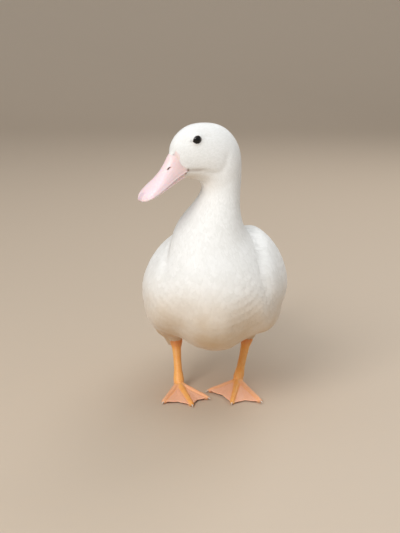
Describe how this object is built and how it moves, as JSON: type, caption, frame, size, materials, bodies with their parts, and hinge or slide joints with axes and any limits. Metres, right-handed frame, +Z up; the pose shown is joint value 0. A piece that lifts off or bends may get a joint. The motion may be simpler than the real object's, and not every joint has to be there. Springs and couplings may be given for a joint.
{
  "type": "domestic duck",
  "caption": "White domestic duck standing upright on webbed feet, neck raised and head turned to its right; a still life-size figure.",
  "frame": {"origin": "centre of the bounding box in X and Y, at the level of the soles (Z = 0)", "axes": "the duck faces -Y, its left side is +X, and +Z is up; the head is turned towards -X"},
  "size_m": [0.1894, 0.3756, 0.3712],
  "materials": {
    "plumage": "soft matte white feathers",
    "bill_horn": "satin pale pink horn",
    "leg_skin": "satin scaly orange skin",
    "claw_horn": "satin pale horn",
    "eye": "wet gloss near-black"
  },
  "bodies": {
    "root": {"bill_lower": "bill_horn", "bill_upper": "bill_horn", "claw_left_hind": "claw_horn", "claw_left_inner": "claw_horn", "claw_left_middle": "claw_horn", "claw_left_outer": "claw_horn", "claw_right_hind": "claw_horn", "claw_right_inner": "claw_horn", "claw_right_middle": "claw_horn", "claw_right_outer": "claw_horn", "eye_left": "eye", "eye_right": "eye", "foot_left": "leg_skin", "foot_right": "leg_skin", "head": "plumage", "neck": "plumage", "shank_left": "leg_skin", "shank_right": "leg_skin", "tail": "plumage", "thigh_left": "plumage", "thigh_right": "plumage", "trunk": "plumage", "wing_left": "plumage", "wing_right": "plumage"}
  },
  "joints": []
}
